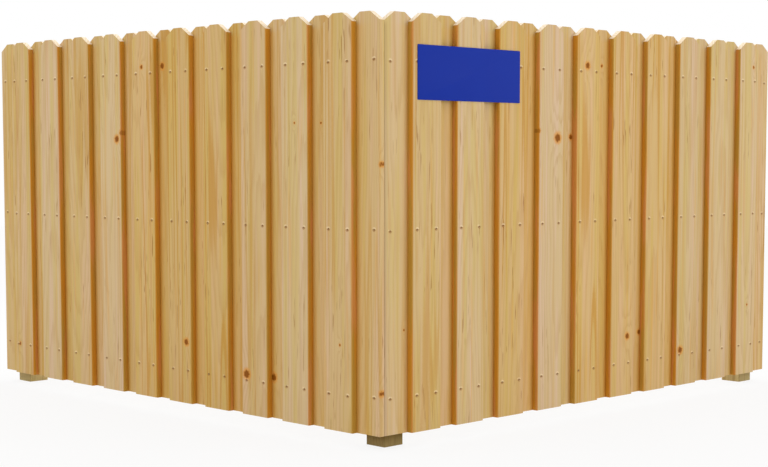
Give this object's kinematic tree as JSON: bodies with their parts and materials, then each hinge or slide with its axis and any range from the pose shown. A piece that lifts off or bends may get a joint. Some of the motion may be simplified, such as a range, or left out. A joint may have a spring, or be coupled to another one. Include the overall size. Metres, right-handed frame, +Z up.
{
  "type": "board-on-board fence corner",
  "caption": "Free-standing corner of a board-on-board timber fence: two dog-eared board runs at a right angle on square posts and rails, with a bare sign plate.",
  "frame": {"origin": "centre of the corner post's foot, at ground level", "axes": "+Z up, +X along the right run, +Y along the left run; the fence's outer faces look towards -Y and -X"},
  "size_m": [2.3457, 2.3278, 1.4454],
  "materials": {
    "pine_board": "planed pale softwood with streaky grain and small knots",
    "pine_rail": "planed pale softwood",
    "treated_post": "pressure-treated olive-brown softwood",
    "nail_steel": "dull dark nail heads set below the face",
    "screw_steel": "plain zinc-plated",
    "sign_blue": "satin blue, bare of lettering"
  },
  "bodies": {
    "root": {"corner_post": "treated_post", "left_bottom_rail": "pine_rail", "left_end_post": "treated_post", "left_front_board_01": "pine_board", "left_front_board_02": "pine_board", "left_front_board_03": "pine_board", "left_front_board_04": "pine_board", "left_front_board_05": "pine_board", "left_front_board_06": "pine_board", "left_front_board_07": "pine_board", "left_front_board_08": "pine_board", "left_front_board_09": "pine_board", "left_front_board_10": "pine_board", "left_front_nails": "nail_steel", "left_inner_board_01": "pine_board", "left_inner_board_02": "pine_board", "left_inner_board_03": "pine_board", "left_inner_board_04": "pine_board", "left_inner_board_05": "pine_board", "left_inner_board_06": "pine_board", "left_inner_board_07": "pine_board", "left_inner_board_08": "pine_board", "left_inner_board_09": "pine_board", "left_inner_board_10": "pine_board", "left_inner_board_11": "pine_board", "left_inner_nails": "nail_steel", "left_middle_rail": "pine_rail", "left_rail_screws": "screw_steel", "left_top_rail": "pine_rail", "right_bottom_rail": "pine_rail", "right_end_post": "treated_post", "right_front_board_01": "pine_board", "right_front_board_02": "pine_board", "right_front_board_03": "pine_board", "right_front_board_04": "pine_board", "right_front_board_05": "pine_board", "right_front_board_06": "pine_board", "right_front_board_07": "pine_board", "right_front_board_08": "pine_board", "right_front_board_09": "pine_board", "right_front_board_10": "pine_board", "right_front_nails": "nail_steel", "right_inner_board_01": "pine_board", "right_inner_board_02": "pine_board", "right_inner_board_03": "pine_board", "right_inner_board_04": "pine_board", "right_inner_board_05": "pine_board", "right_inner_board_06": "pine_board", "right_inner_board_07": "pine_board", "right_inner_board_08": "pine_board", "right_inner_board_09": "pine_board", "right_inner_board_10": "pine_board", "right_inner_board_11": "pine_board", "right_inner_nails": "nail_steel", "right_middle_rail": "pine_rail", "right_rail_screws": "screw_steel", "right_top_rail": "pine_rail", "sign_plate": "sign_blue"}
  },
  "joints": []
}
